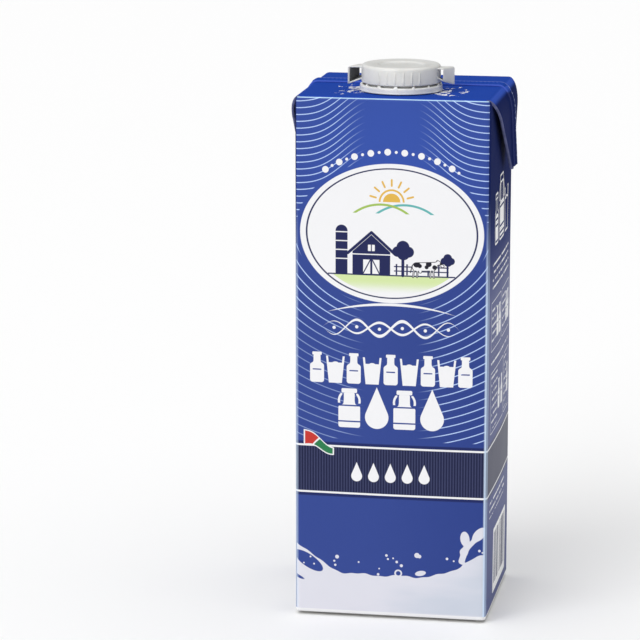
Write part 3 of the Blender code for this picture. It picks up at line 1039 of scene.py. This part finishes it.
# %% [markdown]
# ## Straps
# The ears, the seal fin, the flaps under the base and the cap's grips are all straps: a flat
# section with round edges, carried along a path that bends. Each row of the net stands square to
# the path. Rises may differ from place to place, which gives crimps and lifted edges.

# %% A strap carried along a path
def distance_along(path):
    """How far along a path each of its points lies: the sum of the steps before it."""
    return np.concatenate([[0.0], np.cumsum(np.linalg.norm(np.diff(path, axis=0), axis=1))])


def strap_net(path, middle, half, thickness, rise=0.0, relief=None, across_cuts=10, edge_cuts=5):
    """Rows along the path, columns round a flat section with round edges, and a mask of its edges.

    Y = middle + w x (half - r) + r x sin(a), and the outer face stands rise out of the path along
    its normal: out = rise - r + r x cos(a), where r is half the thickness, w runs across each
    face, and a turns round each edge. Relief(distance along, y) is added to the outer face.
    """
    ahead = np.gradient(path, axis=0)
    ahead = ahead / np.linalg.norm(ahead, axis=1)[:, None]
    normal = np.stack([-ahead[:, 1], ahead[:, 0]], 1)
    run = np.linspace(-1, 1, across_cuts + 1)
    arc = np.linspace(0, math.pi, edge_cuts + 2)[1:-1]
    w = np.concatenate([run, 1 + 0 * arc, run[::-1], -1 + 0 * arc])[None]
    a = np.concatenate([0 * run, arc, 0 * run + math.pi, arc + math.pi])[None]
    rows = (np.broadcast_to(value, len(path))[:, None] for value in (half, middle, rise))
    half, middle, rise = rows
    radius = np.minimum(thickness / 2, half * 0.95)
    y = middle + w * (half - radius) + radius * np.sin(a)
    out = rise - thickness / 2 * (1 - np.cos(a))
    if relief is not None:
        out = out + relief(distance_along(path)[:, None], y) * (np.cos(a) > 0.5)
    net = path[:, None, :] + normal[:, None, :] * out[..., None]
    edge = (np.abs(np.sin(a[0])) > 0.3) | (np.abs(np.sin(np.roll(a[0], -1))) > 0.3)
    edge = np.broadcast_to(edge, (len(path) - 1, a.shape[1]))
    return np.stack([net[..., 0], y, net[..., 1]], -1), edge


def ear_path(drop, cuts=26):
    """From the top fold down to a drop, as (x, z): a quarter ellipse, then a straight run."""
    start, bend = WIDTH / 2 - EAR_BEND_START, WIDTH / 2 + EAR_BEND_REACH
    turn = np.linspace(0, math.pi / 2, cuts)
    share = np.linspace(0, 1, cuts)[1:]
    x = [start + (bend - start) * np.sin(turn), bend + share * (EAR_TIP_REACH - EAR_BEND_REACH)]
    down = [EAR_BEND_DROP * (1 - np.cos(turn)), EAR_BEND_DROP + share * (drop - EAR_BEND_DROP)]
    return np.stack([np.concatenate(x), HEIGHT - np.concatenate(down)], 1)


# %% [markdown]
# ## The ears and the fin
# Where a brick carton is sealed across its top, the spare board makes two triangular ears. They
# are folded down and tacked to the sides, and stand a few millimetres off them at the bend. The
# seal itself is a fin that lies flat over the top and runs down both ears to their tips.

# %% The ears
EAR_INSET, EAR_ROUND = 0.6 * MM, 1.6 * MM


def make_ear(name, side):
    """An ear: half width falls in a straight line from the fold to a rounded tip."""
    path = ear_path(EAR_DROP)
    drop = HEIGHT - path[:, 1]
    share = drop / EAR_DROP
    wide = DEPTH / 2 - EAR_INSET
    half = wide + share * (EAR_TIP_HALF_WIDTH - wide)
    past = np.clip((drop - EAR_DROP + EAR_ROUND) / EAR_ROUND, 0, 1)
    half = half * np.sqrt(1 - 0.75 * past ** 2)
    rise = np.interp(drop, (0.0, 0.3 * MM, EAR_DROP), (-0.04 * MM, 0.1 * MM, 0.12 * MM))
    net, edge = strap_net(path, share * FIN_START, half, EAR_THICKNESS, rise, across_cuts=16)
    net[..., 0] *= side
    # The ear's rounded edges take the fold print, cracked and with a painted highlight.
    ear = closed_net(name, net, (PRINT_TOP, PRINT_FOLD), edge.astype(int))
    belongs(ear, "carton")


make_ear("ear_right", 1)
make_ear("ear_left", -1)

# %% [markdown]
# The fin's sealing zone is crimped: ridges about 1.6 mm apart run across it. Its free edge lies
# a little higher than its root, because three layers of board never press quite flat.

# %% The seal fin
FIN_THICKNESS, FIN_RISE, FIN_LIFT = 0.8 * MM, 0.7 * MM, 0.4 * MM
FIN_ROWS = 620
CRIMP_PITCH, CRIMP_HEIGHT = 1.6 * MM, 0.09 * MM


def fin_relief(along, y):
    """Lift of the free edge + crimps: height x cos(2 pi x distance / pitch) on the sealing zone."""
    share = (y - FIN_START) / FIN_WIDTH
    zone = np.clip((share - 0.22) * 12, 0, 1) * np.clip((0.9 - share) * 12, 0, 1)
    wave = np.cos(2 * math.pi * along / CRIMP_PITCH)
    return FIN_LIFT * np.clip(share, 0, 1) ** 2 + CRIMP_HEIGHT * wave * zone


right_half = ear_path(FIN_DROP)
fin_corners = np.concatenate([right_half[::-1] * (-1, 1), right_half])
reached = distance_along(fin_corners)
even = np.linspace(0, reached[-1], FIN_ROWS)
fin_path = np.stack([np.interp(even, reached, fin_corners[:, k]) for k in (0, 1)], 1)
fin_net, _ = strap_net(
    fin_path, FIN_START + FIN_WIDTH / 2, FIN_WIDTH / 2, FIN_THICKNESS, FIN_RISE, fin_relief,
    across_cuts=18)
fin = closed_net("top_fin", fin_net, (PRINT_FIN,))
belongs(fin, "carton")

# %% [markdown]
# ## Under the base
# The lower end of the tube is folded the same way, but its ears go inward and lie under the
# base, with the lower fin between them. The carton stands on these flaps.

# %% The folds under the base
FLAP_ROOT, FLAP_SINK, FLAP_END, FLAP_INSET = 2.2 * MM, 0.5 * MM, 1.5 * MM, 2.4 * MM
FLAP_THICKNESS = 1.1 * MM
LOWER_FIN_HALF, LOWER_FIN_THICKNESS, LOWER_FIN_UP = 3.2 * MM, 0.7 * MM, 0.35 * MM
LOWER_FIN_ROWS, LOWER_FIN_INSET, LOWER_CRIMP = 240, 2.5 * MM, 0.06 * MM


def make_base_flap(name, side):
    """A flap: its half width falls from the base's edge to a blunt tip near the middle."""
    root = WIDTH / 2 - FLAP_ROOT
    x = np.linspace(root, FLAP_END, 40)
    share = 1 - x / (WIDTH / 2)
    sink = np.interp(x, (WIDTH / 2 - 4.0 * MM, root), (0.0, FLAP_SINK))
    wide = DEPTH / 2 - FLAP_INSET
    half = wide + share * (EAR_TIP_HALF_WIDTH - wide)
    net, _ = strap_net(np.stack([x, sink], 1), 0.0, half, FLAP_THICKNESS, across_cuts=16)
    net[..., 0] *= side
    flap = closed_net(name, net, (PRINT_BASE,))
    belongs(flap, "carton")


def lower_relief(along, y):
    """The same crimps as on the top fin, shallower: height x cos(2 pi x distance / pitch)."""
    return LOWER_CRIMP * np.cos(2 * math.pi * along / CRIMP_PITCH) + 0 * y


make_base_flap("base_flap_right", 1)
make_base_flap("base_flap_left", -1)
lower_end = WIDTH / 2 - LOWER_FIN_INSET
lower_x = np.linspace(lower_end, -lower_end, LOWER_FIN_ROWS)
lower_path = np.stack([lower_x, np.full(LOWER_FIN_ROWS, LOWER_FIN_UP)], 1)
lower_net, _ = strap_net(
    lower_path, 0.0, LOWER_FIN_HALF, LOWER_FIN_THICKNESS, 0.0, lower_relief)
lower_fin = closed_net("base_fin", lower_net, (PRINT_BASE,))
belongs(lower_fin, "carton")

# %% [markdown]
# ## Moulded polyethylene
# Caps for milk are injection moulded from high-density polyethylene. It is slightly waxy: light
# enters a little way and comes out again, the gloss is broad, and the mould leaves a fine grain.
# The grain is about 0.05 mm on a real cap. It is drawn about 0.4 mm wide here, so that it shows.

# %% The cap's plastic
PLASTIC_IOR = 1.54
GRAIN_PER_METRE, GRAIN_HEIGHT = 2500.0, 0.02 * MM
CLOUDS_PER_METRE = 130.0


def moulded(name, pale, shaded, roughness):
    """Injection-moulded polyethylene: a faint cloudiness in tone, and a fine grain as bump."""
    material, tree, shader = new_material(name, roughness)
    shader.inputs["IOR"].default_value = PLASTIC_IOR
    shader.inputs["Subsurface Weight"].default_value = 0.12
    shader.inputs["Subsurface Radius"].default_value = (1.0, 0.8, 0.7)
    shader.inputs["Subsurface Scale"].default_value = 1.2 * MM
    cloud = noise(own_place(tree), CLOUDS_PER_METRE, 3.0)
    tone = over(linear(pale), linear(shaded), ramp(cloud, 0.35, 0.7))
    tree.links.new(tone.socket, shader.inputs["Base Color"])
    add_bump(tree, shader, GRAIN_PER_METRE, GRAIN_HEIGHT, 0.6)
    return material


CAP_PLASTIC = moulded("moulded_cap_polyethylene", "#dcdcd9", "#d3d3cf", 0.36)
# The ring's plastic is painted paler than the cap's, as painted light against the shade under the
# cap's skirt.
RING_PLASTIC = moulded("moulded_ring_polyethylene", "#eaeae8", "#e1e1de", 0.36)
# The inner faces of the grips' pockets are a dull grey: painted shade, for the little light that
# reaches into the narrow pockets.
GRIP_PAINTED_SHADE = moulded("moulded_cap_polyethylene_painted_shade", "#6c6e6e", "#5c5e5e", 0.55)

# %% [markdown]
# ## The cap
# The cap is a turned shape: a profile of radius and height, swept round the cap's axis. Narrow
# upright ribs stand on its front and back for grip. The profile could be spun as a curve, but as
# an array each point can also carry its share of the ribs.

# %% The turned cap
CAP_COLUMNS = 480
RIB_PITCH, RIB_WIDTH, RIB_HEIGHT, RIB_REACH = 12.0, 2.4, 0.34 * MM, 34.0
RIM_RADIUS = 1.2 * MM


def about_axis(x, y, z):
    """Places given from the cap's axis, turned by the angle at which the cap is screwed on."""
    c, s = math.cos(CAP_TURN), math.sin(CAP_TURN)
    return np.stack(np.broadcast_arrays(x * c - y * s, CAP_Y + x * s + y * c, z), -1)


def turned_net(profile, wave, columns=CAP_COLUMNS):
    """(radius, height, share) swept round the axis: r = radius + share x wave(angle in degrees)."""
    angle = np.arange(columns)[None] * 360 / columns
    radius, z, share = (profile[:, k:k + 1] for k in range(3))
    around, rise = wave(angle)
    r = radius + share * around
    turn = np.radians(angle)
    return about_axis(r * np.cos(turn), r * np.sin(turn), z + share * rise)


def ribs(angle):
    """Six rounded ribs, 12 degrees apart, on the front of the cap and six on its back."""
    from_front = np.abs(angle % 180 - 90)
    beside = from_front % RIB_PITCH - RIB_PITCH / 2
    bump = np.clip(1 - (beside / (RIB_WIDTH / 2)) ** 2, 0, 1) ** 0.5
    return RIB_HEIGHT * bump * (from_front < RIB_REACH), 0.0


def cap_profile():
    """(radius, height, share of ribs): the skirt, a rounded rim, the top, a step and the dish.

    The skirt's heights count from the cap's foot, those inside the rim from its top.
    """
    skirt = [
        (11.0, 0.35, 0), (14.0, 0.3, 0), (14.4, 0.05, 0), (14.65, 0.0, 0), (14.85, 0.05, 0),
        (14.97, 0.2, 0), (15.0, 0.45, 0), (15.0, 0.6, 0.2), (15.0, 0.9, 0.9), (15.0, 1.4, 1),
        (15.0, 2.4, 1), (15.0, 3.4, 1), (15.0, 4.4, 0.9), (15.0, 4.9, 0.35), (15.0, 5.2, 0)]
    skirt = np.array(skirt) * (MM, MM, 1) + (0, CAP_FOOT, 0)
    turn = np.linspace(0, math.pi / 2, 10)
    rim = [CAP_RADIUS - RIM_RADIUS * (1 - np.cos(turn)), CAP_TOP - RIM_RADIUS * (1 - np.sin(turn))]
    rim = np.stack(rim + [0 * turn], 1)
    inner = [
        (13.3, -0.02, 0), (12.9, -0.05, 0), (12.3, -0.12, 0), (11.7, -0.17, 0), (10.6, -0.19, 0),
        (9.4, -0.2, 0), (9.1, -0.24, 0), (8.8, -0.36, 0), (8.5, -0.56, 0), (8.2, -0.7, 0),
        (7.8, -0.76, 0), (7.0, -0.78, 0), (5.5, -0.78, 0), (4.0, -0.77, 0), (2.5, -0.76, 0),
        (1.2, -0.76, 0), (0.9, -0.8, 0), (0.5, -0.84, 0)]
    inner = np.array(inner) * (MM, MM, 1) + (0, CAP_TOP, 0)
    return np.concatenate([skirt, rim, inner])


cap = closed_net("cap", turned_net(cap_profile(), ribs), (CAP_PLASTIC,))
belongs(cap, "screw_cap")

# %% [markdown]
# Two grips stand beside the cap. Each is a thin strap that leaves the cap below its rim, turns
# down and comes back in with a slope, open to the front and the back. Seen from above it is a
# wedge: one end lies near the cap, the other further out and lower. Both face the same way
# round, so the second is the first turned half round the cap's axis. The strap is first made
# straight, and then stretched outward and downward by a share that grows from end to end.

# %% The grips
GRIP_LEAD, GRIP_TRAIL = -5.7 * MM, 0.9 * MM
GRIP_ROOT = CAP_RADIUS - 2.6 * MM
GRIP_REACHES, GRIP_HEIGHTS = (1.25 * MM, 5.3 * MM), (5.0 * MM, 7.0 * MM)
GRIP_CUTS, GRIP_EDGE_CUTS = 10, 5
GRIP_WALL, GRIP_BEND, GRIP_SLOPE = 0.68 * MM, 0.9 * MM, 0.36
GRIP_TOP = CAP_TOP - 1.0 * MM


def grip_path():
    """Out along the top, down the outside and back in, with two round corners, as (x, z).

    Its reach and its height are those of the trailing end, which the rest is shrunk from.
    """
    outer, low = CAP_RADIUS + GRIP_REACHES[1], GRIP_TOP - GRIP_HEIGHTS[1]
    c, s = np.cos(np.linspace(0, math.pi / 2, 9)), np.sin(np.linspace(0, math.pi / 2, 9))
    small = GRIP_BEND / 3
    upper = np.stack([outer - GRIP_BEND * (1 - s), GRIP_TOP - GRIP_BEND * (1 - c)], 1)
    lower = np.stack([outer - small * (1 - c), low + small * (1 - s)], 1)
    start = np.linspace((GRIP_ROOT, GRIP_TOP), upper[0], 8)[:-1]
    down = np.linspace(upper[-1], lower[0], 8)[1:-1]
    inner = (GRIP_ROOT, low + GRIP_SLOPE * (outer - GRIP_ROOT))
    end = np.linspace(lower[-1], inner, 8)[1:]
    return np.concatenate([start, upper, down, lower, end])


def make_grip(name, side):
    """The strap, shrunk towards its root and its top: the leading end most, the trailing not."""
    middle, half = (GRIP_LEAD + GRIP_TRAIL) / 2, (GRIP_TRAIL - GRIP_LEAD) / 2
    cuts = {"across_cuts": GRIP_CUTS, "edge_cuts": GRIP_EDGE_CUTS}
    net, _ = strap_net(grip_path(), middle, half, GRIP_WALL, **cuts)
    x, y, z = np.moveaxis(net, -1, 0)
    share = (y - GRIP_LEAD) / (GRIP_TRAIL - GRIP_LEAD)
    full = CAP_RADIUS + GRIP_REACHES[1] - GRIP_ROOT
    narrow = (full - (1 - share) * (GRIP_REACHES[1] - GRIP_REACHES[0])) / full
    short = 1 - (1 - share) * (1 - GRIP_HEIGHTS[0] / GRIP_HEIGHTS[1])
    x, z = GRIP_ROOT + (x - GRIP_ROOT) * narrow, GRIP_TOP - (GRIP_TOP - z) * short
    # The strap's inner face takes the dull grey plastic: painted shade.
    inside = np.zeros(net.shape[1], int)
    first = GRIP_CUTS + 1 + GRIP_EDGE_CUTS
    inside[first:first + GRIP_CUTS] = 1
    slots = np.broadcast_to(inside, (len(net) - 1, net.shape[1]))
    grip = closed_net(name, about_axis(side * x, side * y, z), (CAP_PLASTIC, GRIP_PAINTED_SHADE), slots)
    belongs(grip, "screw_cap")


make_grip("grip_right", 1)
make_grip("grip_left", -1)

# %% [markdown]
# ## The ring
# A ring stays on the carton when the cap is opened for the first time. It is joined to the cap by
# fourteen small bridges that tear, and between them a thin dark gap shows. The neck inside it
# closes the view.

# %% The ring
BRIDGES, BRIDGE_WIDTH, BRIDGE_HEIGHT = 14, 2.0, 0.62 * MM


def bridges(angle):
    """A bump every 360 / 14 degrees, some wider than others, that reaches up to the cap's edge."""
    pitch = 360 / BRIDGES
    beside = np.abs((angle + 5.0) % pitch - pitch / 2)
    width = BRIDGE_WIDTH * (1 + 0.5 * np.sin(np.radians(3 * angle + 40)))
    return 0.0, BRIDGE_HEIGHT * np.clip((width - beside) / 0.8, 0, 1)


profile = [
    (8.0, 0.0, 0), (15.4, 0.0, 0), (15.6, 0.05, 0), (15.69, 0.18, 0), (15.7, 0.35, 0),
    (15.66, 0.5, 0), (15.6, 0.62, 0), (15.58, 1.0, 0), (15.58, 1.6, 0), (15.54, 1.98, 0),
    (15.42, 2.24, 0.4), (15.2, 2.34, 1), (14.5, 2.34, 1), (14.3, 2.28, 0.6), (14.2, 2.1, 0),
    (13.1, 2.0, 0), (13.1, 2.75, 0), (8.0, 2.75, 0)]
ring_profile = np.array(profile) * (MM, MM, 1) + (0, RING_BOX[0].z, 0)
ring = closed_net("ring", turned_net(ring_profile, bridges), (RING_PLASTIC,))
belongs(ring, "cap_ring")

# %% [markdown]
# ## Studio
# A pale floor, a bright surround, one soft light from the front left and one from above. Both
# are distant lamps, so the floor is as bright far away as it is near the carton. The lens is
# long, so the carton's upright edges stay nearly parallel.

# %% The floor
FLOOR_HALF = 9.0
FIBRES_PER_METRE = 0.17
floor_mesh = bpy.data.meshes.new("floor")
corners = [(x * FLOOR_HALF, y * FLOOR_HALF, 0) for x, y in ((-1, -1), (1, -1), (1, 1), (-1, 1))]
floor_mesh.from_pydata(corners, [], [(0, 1, 2, 3)])
floor = bpy.data.objects.new("floor", floor_mesh)
bpy.context.scene.collection.objects.link(floor)
paper, paper_tree, paper_shader = new_material("matt_backdrop_paper", 0.9)
fibre = noise(own_place(paper_tree), FIBRES_PER_METRE)
paper_white = over(linear("#fcfcfc"), linear("#fafafa"), fibre)
paper_tree.links.new(paper_white.socket, paper_shader.inputs["Base Color"])
floor_mesh.materials.append(paper)

# %% The light
AMBIENT, BACKDROP = 0.36, 0.97
world = bpy.data.worlds.new("studio")
world.use_nodes = True
air = world.node_tree
seen = Field(air, add_node(air, "ShaderNodeLightPath").outputs["Is Camera Ray"])
strength = seen.calc("MULTIPLY_ADD", BACKDROP - AMBIENT, AMBIENT)
air.nodes["Background"].inputs[0].default_value = (1.0, 1.0, 1.0, 1.0)
air.links.new(strength.socket, air.nodes["Background"].inputs[1])
bpy.context.scene.world = world


def soft_sun(name, direction, strength, spread):
    """A distant lamp, so one without falloff, that looks as wide as spread in degrees."""
    lamp = bpy.data.lights.new(name, "SUN")
    lamp.energy, lamp.angle = strength, math.radians(spread)
    made = bpy.data.objects.new(name, lamp)
    made.rotation_euler = Vector(direction).to_track_quat("Z", "Y").to_euler()
    bpy.context.scene.collection.objects.link(made)


soft_sun("key_light", (-0.46, -0.73, 0.51), 1.36, 50.0)
soft_sun("top_light", (0.0, -0.1, 1.0), 1.46, 90.0)

# %% The camera
CAMERA_TURN, CAMERA_RISE = math.radians(10.16), math.radians(12.14)
CAMERA_AWAY, CAMERA_TARGET = 1.247, Vector((-0.0334, 0.0, 0.1092))
FOCAL_LENGTH, SENSOR_WIDTH = 180.0, 36.0
level, lift = math.cos(CAMERA_RISE), math.sin(CAMERA_RISE)
back = Vector((math.sin(CAMERA_TURN) * level, -math.cos(CAMERA_TURN) * level, lift))
lens = bpy.data.cameras.new("camera")
lens.lens, lens.sensor_width, lens.clip_start = FOCAL_LENGTH, SENSOR_WIDTH, 0.05
camera = bpy.data.objects.new("camera", lens)
camera.location = CAMERA_TARGET + back * CAMERA_AWAY
camera.rotation_euler = back.to_track_quat("Z", "Y").to_euler()
bpy.context.scene.collection.objects.link(camera)
bpy.context.scene.camera = camera
bpy.context.scene.view_settings.view_transform = "Standard"
